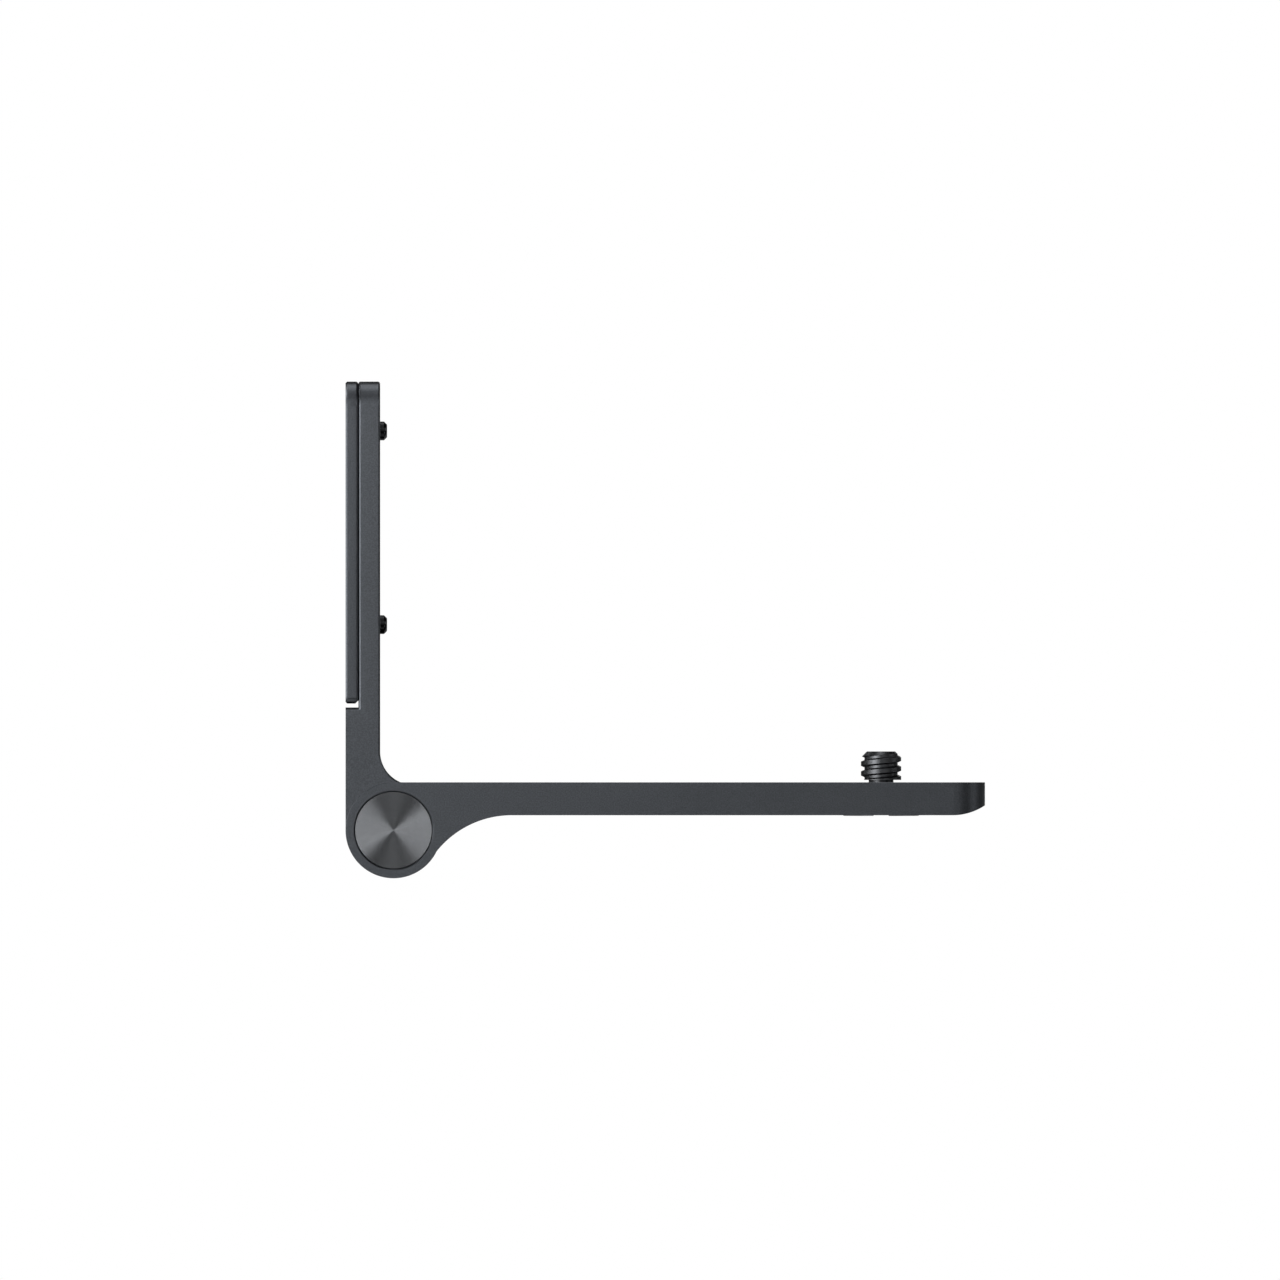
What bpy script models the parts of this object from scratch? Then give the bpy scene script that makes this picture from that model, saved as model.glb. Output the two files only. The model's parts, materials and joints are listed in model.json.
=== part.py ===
"""Camera wall mount: a wall plate, an upright locked to it, and an arm on a friction hinge.

Metres, +Z up. +X runs from the wall along the arm and +Y across the bracket.
The origin is the middle of the wall plate's rear face.
"""

import math

import bmesh
import bpy
from mathutils import Vector

# Clearances that mating pieces share
RUN_GAP = 0.0001
STACK_GAP = 0.0001
SEAT_GAP = 0.0003
OVERRUN = 0.001

# Whole bracket
WIDTH = 0.032
EDGE_CHAMFER = 0.0003

# Hinge barrel
KNUCKLE_RADIUS = 0.00762
OUTER_KNUCKLE_WIDTH = 0.010
KNUCKLE_GAP = 0.0003
RELIEF_GAP = 0.0002
SWING_GAP = 0.0003

# Arm
ARM_THICKNESS = 0.0052
ARM_REACH = 0.0939
ARM_CORNER_RADIUS = 0.0051
ARM_EDGE_CHAMFER = 0.0002
TIP_ROUND_RADIUS = 0.0092
TIP_ROUND_LENGTH = 0.00513
THROAT_RADIUS = 0.01528
THROAT_CORNER_DEG = -26.1

# Upright
UPRIGHT_DEPTH = 0.0055
UPRIGHT_TOP = 0.07124
UPRIGHT_CORNER_RADIUS = 0.004
FRONT_FILLET = 0.00527
LEDGE_HEIGHT = 0.0195

# Wall plate
PLATE_THICKNESS = 0.00195
PLATE_GAP = 0.0001
PLATE_FOOT_GAP = 0.00062
PLATE_FOOT_RADIUS = 0.001
PLATE_FOOT_CHAMFER = 0.0005
WALL_HOLE_RADIUS = 0.002
WALL_HOLE_SINK_RADIUS = 0.0035
WALL_HOLE_SPACING_ACROSS = 0.020
WALL_HOLE_SPACING_UP = 0.039

# Lock screws, M3 by 6 with a socket
LOCK_SCREW_RADIUS = 0.0015
LOCK_SCREW_LENGTH = 0.006
LOCK_SCREW_PROUD = 0.0011
LOCK_SCREW_CHAMFER = 0.00047
LOCK_SCREW_SOCKET = 0.0015
LOCK_SCREW_SOCKET_DEPTH = 0.002
LOCK_SCREW_UPPER = 0.0634
LOCK_SCREW_LOWER = 0.03265

# Hinge bolt, M5 with a low head
BOLT_RADIUS = 0.0025
BOLT_HEAD_RADIUS = 0.00425
BOLT_HEAD_HEIGHT = 0.0028
BOLT_HEAD_CHAMFER = 0.0003
BOLT_SOCKET = 0.003
BOLT_SOCKET_DEPTH = 0.0016
BOLT_END_PROUD = 0.0004
NUT_ACROSS_FLATS = 0.008
NUT_HEIGHT = 0.0027

# Washers, springs and bushes on the bolt
WASHER_RADIUS = 0.0048
HEAD_WASHER_THICKNESS = 0.0008
SPRING_WASHER_THICKNESS = 0.0006
DISC_SPRING_COUNT = 4
DISC_SPRING_THICKNESS = 0.0004
DISC_SPRING_CONE = 0.00015
BUSH_RADIUS = 0.0036
BUSH_MIDDLE_GAP = 0.0024
FLANGE_RADIUS = 0.006
FLANGE_THICKNESS = 0.0006
FRICTION_WASHER_THICKNESS = 0.0005

# Caps let into the outer knuckles
CAP_RECESS_RADIUS = 0.00625
CAP_RECESS_DEPTH = 0.0015
CAP_SUNK = 0.00015
CAP_THICKNESS = 0.0012
CAP_CHAMFER = 0.0001

# Camera screw, 1/4-20, captive in the arm
STUD_RADIUS = 0.003175
STUD_MINOR_RADIUS = 0.00258
STUD_HEIGHT = 0.0049
STUD_CHAMFER = 0.00095
NECK_RADIUS = 0.00197
NECK_SHOWING = 0.00038
STUD_TO_TIP = 0.0165
SCREW_HEAD_RADIUS = 0.006
SCREW_HEAD_THICKNESS = 0.0026
SCREW_HEAD_PROUD = 0.00015
SCREW_HEAD_CHAMFER = 0.0002
SLOT_WIDTH = 0.0024
SLOT_DEPTH = 0.0014

# Facets of round shapes
BARREL_STEPS = 64
ROUND_STEPS = 40
SMALL_STEPS = 24
ARC_STEP_DEG = 5
SMOOTH_DEG = 30

# Places worked out from the sizes above
plate_bottom = LEDGE_HEIGHT + PLATE_FOOT_GAP
axis_x = KNUCKLE_RADIUS
axis_z = -(plate_bottom + UPRIGHT_TOP) / 2
leaf_rear = PLATE_THICKNESS + PLATE_GAP
centre_knuckle_half = WIDTH / 2 - OUTER_KNUCKLE_WIDTH - KNUCKLE_GAP
outer_knuckle_inner_face = centre_knuckle_half + KNUCKLE_GAP
arm_underside = KNUCKLE_RADIUS - ARM_THICKNESS
stud_x = ARM_REACH - STUD_TO_TIP
bolt_hole_radius = BOLT_RADIUS + RUN_GAP
lock_hole_radius = LOCK_SCREW_RADIUS + RUN_GAP
recess_floor = WIDTH / 2 - CAP_RECESS_DEPTH


def clear_scene():
    for thing in list(bpy.data.objects):
        bpy.data.objects.remove(thing, do_unlink=True)


def new_collection(name):
    collection = bpy.data.collections.new(name)
    bpy.context.scene.collection.children.link(collection)
    return collection


clear_scene()
parts = new_collection("camera_wall_mount")
cutters = new_collection("cutters")
cutters.hide_render = True


def new_material(name, colour, metallic, roughness):
    material = bpy.data.materials.new(name)
    material.use_nodes = True
    shader = material.node_tree.nodes["Principled BSDF"]
    shader.inputs["Base Color"].default_value = (*colour, 1)
    shader.inputs["Metallic"].default_value = metallic
    shader.inputs["Roughness"].default_value = roughness
    return material


def arc(centre, radius, start_deg, end_deg):
    """Points along an arc from one angle to another, both ends included."""
    steps = max(2, math.ceil(abs(end_deg - start_deg) / ARC_STEP_DEG))
    points = []
    for i in range(steps + 1):
        angle = math.radians(start_deg + (end_deg - start_deg) * i / steps)
        points.append((centre[0] + radius * math.cos(angle), centre[1] + radius * math.sin(angle)))
    return points


def rounded_rectangle(low, high, radii):
    """Corner radii run anticlockwise from the low corner; a radius of zero leaves the corner square."""
    corners = [(low[0], low[1]), (high[0], low[1]), (high[0], high[1]), (low[0], high[1])]
    inwards = [(1, 1), (-1, 1), (-1, -1), (1, -1)]
    points = []
    for i in range(4):
        radius = radii[i]
        if radius == 0:
            points.append(corners[i])
            continue
        centre = (corners[i][0] + inwards[i][0] * radius, corners[i][1] + inwards[i][1] * radius)
        points += arc(centre, radius, 180 + 90 * i, 270 + 90 * i)
    return points


def link(thing, collection):
    collection.objects.link(thing)
    if collection == cutters:
        thing.hide_render = True
        thing.display_type = "WIRE"
    return thing


def extruded(name, outline, half_thickness, collection, location=(0, 0, 0), rotation=(0, 0, 0)):
    """A flat outline, filled and thickened both ways, as a closed mesh."""
    curve = bpy.data.curves.new(name + "_outline", "CURVE")
    curve.dimensions = "2D"
    curve.fill_mode = "BOTH"
    curve.extrude = half_thickness
    spline = curve.splines.new("POLY")
    spline.points.add(len(outline) - 1)
    for point, (x, y) in zip(spline.points, outline):
        point.co = (x, y, 0, 1)
    spline.use_cyclic_u = True
    drawn = bpy.data.objects.new(name + "_outline", curve)
    bpy.context.scene.collection.objects.link(drawn)
    drawn.location = location
    drawn.rotation_euler = rotation
    bpy.context.view_layer.update()
    evaluated = drawn.evaluated_get(bpy.context.evaluated_depsgraph_get())
    mesh = bpy.data.meshes.new_from_object(evaluated)
    weld = bmesh.new()
    weld.from_mesh(mesh)
    bmesh.ops.remove_doubles(weld, verts=weld.verts, dist=1e-6)
    bmesh.ops.dissolve_limit(weld, angle_limit=math.radians(0.1), verts=weld.verts, edges=weld.edges)
    bmesh.ops.recalc_face_normals(weld, faces=weld.faces)
    weld.to_mesh(mesh)
    weld.free()
    body = bpy.data.objects.new(name, mesh)
    body.matrix_world = drawn.matrix_world.copy()
    bpy.data.objects.remove(drawn, do_unlink=True)
    return link(body, collection)


def turned(name, profile, steps, collection, location=(0, 0, 0), rotation=(0, 0, 0), ring=False):
    """A profile of (radius, height) points, top to bottom on its outer side, turned about local Z."""
    mesh = bpy.data.meshes.new(name)
    edges = [(i, i + 1) for i in range(len(profile) - 1)]
    if ring:
        edges.append((len(profile) - 1, 0))
    mesh.from_pydata([(radius, 0, height) for radius, height in profile], edges, [])
    body = bpy.data.objects.new(name, mesh)
    body.location = location
    body.rotation_euler = rotation
    screw = body.modifiers.new("turn", "SCREW")
    screw.steps = steps
    screw.render_steps = steps
    screw.use_merge_vertices = True
    screw.merge_threshold = 1e-6
    return link(body, collection)


def hexagon(name, across_flats, height, collection, location, rotation):
    corner_radius = across_flats / 2 / math.cos(math.radians(30))
    mesh = bpy.data.meshes.new(name)
    prism = bmesh.new()
    bmesh.ops.create_cone(
        prism, cap_ends=True, segments=6, radius1=corner_radius, radius2=corner_radius, depth=height
    )
    prism.to_mesh(mesh)
    prism.free()
    body = bpy.data.objects.new(name, mesh)
    body.location = location
    body.rotation_euler = rotation
    return link(body, collection)


def block(name, low, high, collection):
    mesh = bpy.data.meshes.new(name)
    cube = bmesh.new()
    bmesh.ops.create_cube(cube, size=1)
    low = Vector(low)
    high = Vector(high)
    for vertex in cube.verts:
        vertex.co = (low + high) / 2 + vertex.co * (high - low)
    cube.to_mesh(mesh)
    cube.free()
    return link(bpy.data.objects.new(name, mesh), collection)


def combine(body, other, operation="DIFFERENCE"):
    step = body.modifiers.new(other.name, "BOOLEAN")
    step.operation = operation
    step.object = other
    step.solver = "EXACT"


def chamfer(body, width):
    step = body.modifiers.new("edges", "BEVEL")
    step.width = width
    step.segments = 1
    step.limit_method = "ANGLE"
    step.angle_limit = math.radians(SMOOTH_DEG)


def shade_milled(body):
    """Flat faces look flat and the arcs between them smooth."""
    step = body.modifiers.new("shading", "WEIGHTED_NORMAL")
    step.keep_sharp = True


def finish(body, material, parent=None):
    """Gives a piece its material, smooth round faces and, on a moving piece, its joint's empty."""
    body.data.materials.append(material)
    for polygon in body.data.polygons:
        polygon.use_smooth = True
    body.data.set_sharp_from_angle(angle=math.radians(SMOOTH_DEG))
    if parent:
        bpy.context.view_layer.update()
        place = body.matrix_world.copy()
        body.parent = parent
        body.matrix_parent_inverse = parent.matrix_world.inverted()
        body.matrix_world = place


anodised = new_material("anodised_aluminium", (0.085, 0.095, 0.105), 0.9, 0.5)
turned_cap = new_material("turned_aluminium", (0.12, 0.125, 0.13), 1.0, 0.35)
black_oxide = new_material("black_oxide_steel", (0.02, 0.02, 0.022), 0.8, 0.35)
spring_steel = new_material("spring_steel", (0.5, 0.5, 0.5), 1.0, 0.3)
bush_plastic = new_material("bush_plastic", (0.75, 0.73, 0.68), 0.0, 0.5)

# Turning an outline by this much stands it in the plane of the side view
SIDE_VIEW = (math.radians(90), 0, 0)
# The same for an outline seen from the front, its first axis across the bracket
FRONT_VIEW = (math.radians(90), 0, math.radians(90))
# A turned piece lies along +Y, along -Y or along +X
ALONG_Y = (math.radians(-90), 0, 0)
AGAINST_Y = (math.radians(90), 0, 0)
ALONG_X = (0, math.radians(90), 0)

hinge_point = (axis_x, 0, axis_z)


def joint_empty(name, location, parent=None):
    empty = bpy.data.objects.new(name, None)
    empty.empty_display_size = KNUCKLE_RADIUS
    parts.objects.link(empty)
    empty.parent = parent
    empty.location = Vector(location) - (Vector(parent.location) if parent else Vector())
    bpy.context.view_layer.update()
    return empty


arm_hinge = joint_empty("arm_hinge", hinge_point)
camera_screw_turn = joint_empty("camera_screw_turn", (axis_x + stud_x, 0, axis_z), arm_hinge)


def on_axis(y):
    return (axis_x, y, axis_z)


def stepped_bore(name, sections, steps):
    """One round cutter along the hinge's axis, from (radius, end) sections that start at the near side."""
    start = -WIDTH / 2 - OVERRUN
    profile = [(0, 0)]
    low = 0
    for radius, end in sections:
        high = end - start
        profile += [(radius, low), (radius, high)]
        low = high
    profile.append((0, low))
    return turned(name, profile[::-1], steps, cutters, on_axis(start), ALONG_Y)


def make_upright():
    """The leaf and the centre knuckle, with the arm's knuckles relieved out of both sides."""
    front = UPRIGHT_DEPTH - KNUCKLE_RADIUS
    rear = leaf_rear - KNUCKLE_RADIUS
    fillet_x = front + FRONT_FILLET
    fillet_z = math.sqrt((KNUCKLE_RADIUS + FRONT_FILLET) ** 2 - fillet_x**2)
    blend_deg = math.degrees(math.atan2(fillet_z, fillet_x))
    outline = [(-KNUCKLE_RADIUS, LEDGE_HEIGHT)]
    outline += arc((0, 0), KNUCKLE_RADIUS, 180, 360 + blend_deg)
    outline += arc((fillet_x, fillet_z), FRONT_FILLET, 180 + blend_deg, 180)[1:]
    top = UPRIGHT_TOP + OVERRUN
    outline += [(front, top), (rear, top), (rear, LEDGE_HEIGHT)]
    upright = extruded("upright", outline, WIDTH / 2 + OVERRUN, parts, hinge_point, SIDE_VIEW)
    face = rounded_rectangle(
        (-WIDTH / 2, -KNUCKLE_RADIUS - OVERRUN),
        (WIDTH / 2, UPRIGHT_TOP),
        (0, 0, UPRIGHT_CORNER_RADIUS, UPRIGHT_CORNER_RADIUS),
    )
    front_cut = extruded("upright_face", face, ARM_REACH, cutters, hinge_point, FRONT_VIEW)
    combine(upright, front_cut, "INTERSECT")
    chamfer(upright, EDGE_CHAMFER)

    relief = KNUCKLE_RADIUS + RELIEF_GAP
    below = -relief - OVERRUN
    beyond = relief + OVERRUN
    relief_outline = [(beyond, relief)] + arc((0, 0), relief, 90, 180)
    relief_outline += [(-relief, below), (beyond, below)]
    side_half = (OUTER_KNUCKLE_WIDTH + KNUCKLE_GAP + OVERRUN) / 2
    for name, side in (("near", -1), ("far", 1)):
        place = on_axis(side * (centre_knuckle_half + side_half))
        combine(upright, extruded("relief_" + name, relief_outline, side_half, cutters, place, SIDE_VIEW))

    pocket_depth = FLANGE_THICKNESS + FRICTION_WASHER_THICKNESS + 3 * STACK_GAP - KNUCKLE_GAP
    pocket_floor = centre_knuckle_half - pocket_depth
    sections = [
        (FLANGE_RADIUS + RUN_GAP, -pocket_floor),
        (BUSH_RADIUS + RUN_GAP, pocket_floor),
        (FLANGE_RADIUS + RUN_GAP, WIDTH / 2 + OVERRUN),
    ]
    combine(upright, stepped_bore("bush_bore", sections, ROUND_STEPS))

    for name, height in (("upper", LOCK_SCREW_UPPER), ("lower", LOCK_SCREW_LOWER)):
        hole = [(0, UPRIGHT_DEPTH + OVERRUN), (lock_hole_radius, UPRIGHT_DEPTH + OVERRUN)]
        hole += [(lock_hole_radius, leaf_rear - OVERRUN), (0, leaf_rear - OVERRUN)]
        place = (0, 0, axis_z + height)
        combine(upright, turned("lock_hole_" + name, hole, SMALL_STEPS, cutters, place, ALONG_X))
    shade_milled(upright)
    finish(upright, anodised)


def make_wall_plate():
    """The thin plate that is screwed to the wall, and that the upright is locked to."""
    side = [
        (0, plate_bottom - OVERRUN),
        (PLATE_THICKNESS, plate_bottom - OVERRUN),
        (PLATE_THICKNESS, UPRIGHT_TOP + OVERRUN),
        (0, UPRIGHT_TOP + OVERRUN),
    ]
    plate = extruded("wall_plate", side, WIDTH / 2 + OVERRUN, parts, (0, 0, axis_z), SIDE_VIEW)
    face = rounded_rectangle(
        (-WIDTH / 2, plate_bottom),
        (WIDTH / 2, UPRIGHT_TOP),
        (PLATE_FOOT_RADIUS, PLATE_FOOT_RADIUS, UPRIGHT_CORNER_RADIUS, UPRIGHT_CORNER_RADIUS),
    )
    front_cut = extruded("plate_face", face, UPRIGHT_DEPTH, cutters, (0, 0, axis_z), FRONT_VIEW)
    combine(plate, front_cut, "INTERSECT")
    chamfer(plate, EDGE_CHAMFER)

    foot = [
        (PLATE_THICKNESS - PLATE_FOOT_CHAMFER, plate_bottom),
        (PLATE_THICKNESS - PLATE_FOOT_CHAMFER, plate_bottom - OVERRUN),
        (PLATE_THICKNESS + OVERRUN, plate_bottom - OVERRUN),
        (PLATE_THICKNESS + OVERRUN, plate_bottom + PLATE_FOOT_CHAMFER + OVERRUN),
    ]
    combine(plate, extruded("foot_chamfer", foot, WIDTH, cutters, (0, 0, axis_z), SIDE_VIEW))

    sink_top = WALL_HOLE_SINK_RADIUS + OVERRUN
    sink_bottom = PLATE_THICKNESS - (WALL_HOLE_SINK_RADIUS - WALL_HOLE_RADIUS)
    hole = [
        (0, PLATE_THICKNESS + OVERRUN),
        (sink_top, PLATE_THICKNESS + OVERRUN),
        (WALL_HOLE_RADIUS, sink_bottom),
        (WALL_HOLE_RADIUS, -OVERRUN),
        (0, -OVERRUN),
    ]
    for row, up in (("lower", -1), ("upper", 1)):
        for column, across in (("near", -1), ("far", 1)):
            place = (0, across * WALL_HOLE_SPACING_ACROSS / 2, up * WALL_HOLE_SPACING_UP / 2)
            combine(plate, turned(f"wall_hole_{row}_{column}", hole, SMALL_STEPS, cutters, place, ALONG_X))
    for name, height in (("upper", LOCK_SCREW_UPPER), ("lower", LOCK_SCREW_LOWER)):
        thread = [(0, leaf_rear), (lock_hole_radius, leaf_rear), (lock_hole_radius, -OVERRUN), (0, -OVERRUN)]
        place = (0, 0, axis_z + height)
        combine(plate, turned("plate_thread_" + name, thread, SMALL_STEPS, cutters, place, ALONG_X))
    shade_milled(plate)
    finish(plate, anodised)


def make_lock_screw(name, height):
    """A set screw through the upright's thread into the wall plate's."""
    tip = UPRIGHT_DEPTH + LOCK_SCREW_PROUD
    root = tip - LOCK_SCREW_LENGTH
    flat_radius = LOCK_SCREW_RADIUS - LOCK_SCREW_CHAMFER
    profile = [
        (0, tip),
        (flat_radius, tip),
        (LOCK_SCREW_RADIUS, tip - LOCK_SCREW_CHAMFER),
        (LOCK_SCREW_RADIUS, root + LOCK_SCREW_CHAMFER),
        (flat_radius, root),
        (0, root),
    ]
    place = (0, 0, axis_z + height)
    screw = turned("lock_screw_" + name, profile, SMALL_STEPS, parts, place, ALONG_X)
    socket_height = LOCK_SCREW_SOCKET_DEPTH + OVERRUN
    socket_x = tip - LOCK_SCREW_SOCKET_DEPTH + socket_height / 2
    place = (socket_x, 0, axis_z + height)
    combine(screw, hexagon("lock_socket_" + name, LOCK_SCREW_SOCKET, socket_height, cutters, place, ALONG_X))
    finish(screw, black_oxide)


def make_swing_arm():
    """The arm and its two outer knuckles, milled from one bar, with the screw's countersunk hole."""
    corner_deg = THROAT_CORNER_DEG
    corner_x = KNUCKLE_RADIUS * math.cos(math.radians(corner_deg))
    corner_z = KNUCKLE_RADIUS * math.sin(math.radians(corner_deg))
    rise = corner_z - arm_underside + THROAT_RADIUS
    throat = (corner_x + math.sqrt(THROAT_RADIUS**2 - rise**2), arm_underside - THROAT_RADIUS)
    throat_deg = math.degrees(math.atan2(rise, corner_x - throat[0]))
    tip = (ARM_REACH - TIP_ROUND_LENGTH, arm_underside + TIP_ROUND_RADIUS)
    tip_deg = math.degrees(math.asin((TIP_ROUND_LENGTH + OVERRUN) / TIP_ROUND_RADIUS))
    outline = arc((0, 0), KNUCKLE_RADIUS, 90, 360 + corner_deg)
    outline += arc(throat, THROAT_RADIUS, throat_deg, 90)[1:]
    outline += arc(tip, TIP_ROUND_RADIUS, -90, tip_deg - 90)
    outline += [(ARM_REACH + OVERRUN, KNUCKLE_RADIUS)]
    arm = extruded("swing_arm", outline, WIDTH / 2 + OVERRUN, parts, hinge_point, SIDE_VIEW)
    plan = rounded_rectangle(
        (-KNUCKLE_RADIUS - OVERRUN, -WIDTH / 2),
        (ARM_REACH, WIDTH / 2),
        (0, ARM_CORNER_RADIUS, ARM_CORNER_RADIUS, 0),
    )
    combine(arm, extruded("arm_plan", plan, ARM_REACH, cutters, hinge_point), "INTERSECT")
    chamfer(arm, ARM_EDGE_CHAMFER)

    pocket_radius = WASHER_RADIUS + RUN_GAP
    sections = [
        (CAP_RECESS_RADIUS, -recess_floor),
        (pocket_radius, -head_web_face),
        (bolt_hole_radius, -outer_knuckle_inner_face),
        (KNUCKLE_RADIUS + SWING_GAP, outer_knuckle_inner_face),
        (bolt_hole_radius, nut_web_face),
        (pocket_radius, recess_floor),
        (CAP_RECESS_RADIUS, WIDTH / 2 + OVERRUN),
    ]
    combine(arm, stepped_bore("barrel_bore", sections, BARREL_STEPS))

    pocket_floor = arm_underside - SCREW_HEAD_PROUD + SCREW_HEAD_THICKNESS + SEAT_GAP
    head_room = SCREW_HEAD_RADIUS + RUN_GAP
    mouth_radius = STUD_RADIUS + RUN_GAP
    hole = [
        (0, KNUCKLE_RADIUS + OVERRUN),
        (mouth_radius + OVERRUN, KNUCKLE_RADIUS + OVERRUN),
        (STUD_MINOR_RADIUS, KNUCKLE_RADIUS - (mouth_radius - STUD_MINOR_RADIUS)),
        (STUD_MINOR_RADIUS, pocket_floor),
        (head_room, pocket_floor),
        (head_room, arm_underside - OVERRUN),
        (0, arm_underside - OVERRUN),
    ]
    combine(arm, turned("screw_hole", hole, ROUND_STEPS, cutters, (axis_x + stud_x, 0, axis_z)))
    shade_milled(arm)
    finish(arm, anodised, arm_hinge)


# The stack on the bolt, worked out outwards from the centre plane to each cap's recess
end_room = recess_floor - RUN_GAP
head_seat = end_room - BOLT_HEAD_HEIGHT
head_web_face = head_seat - HEAD_WASHER_THICKNESS - 2 * STACK_GAP
nut_outer_face = end_room - BOLT_END_PROUD
nut_seat = nut_outer_face - NUT_HEIGHT
spring_pitch = DISC_SPRING_THICKNESS + DISC_SPRING_CONE + STACK_GAP
springs_start = nut_seat - DISC_SPRING_COUNT * spring_pitch
nut_web_face = springs_start - SPRING_WASHER_THICKNESS - 2 * STACK_GAP


def make_ring(name, inner, outer, thickness, y_low, material, parent):
    profile = [(outer, thickness), (outer, 0), (inner, 0), (inner, thickness)]
    ring = turned(name, profile, ROUND_STEPS, parts, on_axis(y_low), ALONG_Y, ring=True)
    finish(ring, material, parent)


def make_hinge_bolt():
    """The bolt, its head under the near cap and its plain end just past the nut."""
    length = head_seat + end_room
    profile = [
        (0, BOLT_HEAD_HEIGHT),
        (BOLT_HEAD_RADIUS - BOLT_HEAD_CHAMFER, BOLT_HEAD_HEIGHT),
        (BOLT_HEAD_RADIUS, BOLT_HEAD_HEIGHT - BOLT_HEAD_CHAMFER),
        (BOLT_HEAD_RADIUS, 0),
        (BOLT_RADIUS, 0),
        (BOLT_RADIUS, BOLT_HEAD_CHAMFER - length),
        (BOLT_RADIUS - BOLT_HEAD_CHAMFER, -length),
        (0, -length),
    ]
    bolt = turned("hinge_bolt", profile, ROUND_STEPS, parts, on_axis(-head_seat), AGAINST_Y)
    socket_height = BOLT_SOCKET_DEPTH + OVERRUN
    socket_y = -head_seat - BOLT_HEAD_HEIGHT + BOLT_SOCKET_DEPTH - socket_height / 2
    combine(bolt, hexagon("bolt_socket", BOLT_SOCKET, socket_height, cutters, on_axis(socket_y), AGAINST_Y))
    finish(bolt, black_oxide, arm_hinge)


def make_hinge_nut():
    place = on_axis((nut_seat + nut_outer_face) / 2)
    nut = hexagon("hinge_nut", NUT_ACROSS_FLATS, NUT_HEIGHT, parts, place, ALONG_Y)
    combine(nut, stepped_bore("nut_bore", [(bolt_hole_radius, WIDTH / 2 + OVERRUN)], ROUND_STEPS))
    finish(nut, spring_steel, arm_hinge)


def make_disc_spring(number):
    """A conical ring; each one lies the other way up from the last, so their rims and eyes meet in turn."""
    low = springs_start + (number - 1) * spring_pitch
    outer_low = DISC_SPRING_CONE if number % 2 else 0
    inner_low = DISC_SPRING_CONE - outer_low
    profile = [
        (WASHER_RADIUS, outer_low + DISC_SPRING_THICKNESS),
        (WASHER_RADIUS, outer_low),
        (bolt_hole_radius, inner_low),
        (bolt_hole_radius, inner_low + DISC_SPRING_THICKNESS),
    ]
    spring = turned(f"disc_spring_{number}", profile, ROUND_STEPS, parts, on_axis(low), ALONG_Y, ring=True)
    finish(spring, spring_steel, arm_hinge)


def make_bush(name, rotation, side):
    """A flanged bush, pressed into the centre knuckle with its flange in the knuckle's pocket."""
    face = centre_knuckle_half + KNUCKLE_GAP - FRICTION_WASHER_THICKNESS - 2 * STACK_GAP
    sleeve_end = BUSH_MIDDLE_GAP / 2 - face
    profile = [
        (FLANGE_RADIUS, 0),
        (FLANGE_RADIUS, -FLANGE_THICKNESS),
        (BUSH_RADIUS, -FLANGE_THICKNESS),
        (BUSH_RADIUS, sleeve_end),
        (bolt_hole_radius, sleeve_end),
        (bolt_hole_radius, 0),
    ]
    place = on_axis(side * face)
    bush = turned("hinge_bush_" + name, profile, ROUND_STEPS, parts, place, rotation, ring=True)
    finish(bush, bush_plastic)


def make_cap(name, rotation, side):
    """The turned disc that closes a knuckle, just below its side face."""
    face = WIDTH / 2 - CAP_SUNK
    radius = CAP_RECESS_RADIUS - RUN_GAP
    profile = [
        (0, 0),
        (radius - CAP_CHAMFER, 0),
        (radius, -CAP_CHAMFER),
        (radius, -CAP_THICKNESS),
        (0, -CAP_THICKNESS),
    ]
    cap = turned("hinge_cap_" + name, profile, BARREL_STEPS, parts, on_axis(side * face), rotation)
    finish(cap, turned_cap, arm_hinge)


def make_camera_screw():
    """The captive screw: slotted head, thin neck in the arm's thread, and the stud above the arm."""
    head_bottom = arm_underside - SCREW_HEAD_PROUD
    head_top = head_bottom + SCREW_HEAD_THICKNESS
    stud_top = KNUCKLE_RADIUS + STUD_HEIGHT
    stud_bottom = KNUCKLE_RADIUS + NECK_SHOWING
    profile = [
        (0, stud_top),
        (STUD_RADIUS - STUD_CHAMFER, stud_top),
        (STUD_RADIUS, stud_top - STUD_CHAMFER),
        (STUD_RADIUS, stud_bottom),
        (NECK_RADIUS, stud_bottom),
        (NECK_RADIUS, head_top),
        (SCREW_HEAD_RADIUS, head_top),
        (SCREW_HEAD_RADIUS, head_bottom + SCREW_HEAD_CHAMFER),
        (SCREW_HEAD_RADIUS - SCREW_HEAD_CHAMFER, head_bottom),
        (0, head_bottom),
    ]
    place = (axis_x + stud_x, 0, axis_z)
    screw = turned("camera_screw", profile, ROUND_STEPS, parts, place)
    half = SLOT_WIDTH / 2
    reach = SCREW_HEAD_RADIUS + OVERRUN
    low = (place[0] - half, -reach, axis_z + head_bottom - OVERRUN)
    high = (place[0] + half, reach, axis_z + head_bottom + SLOT_DEPTH)
    combine(screw, block("coin_slot", low, high, cutters))
    finish(screw, black_oxide, camera_screw_turn)


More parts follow.
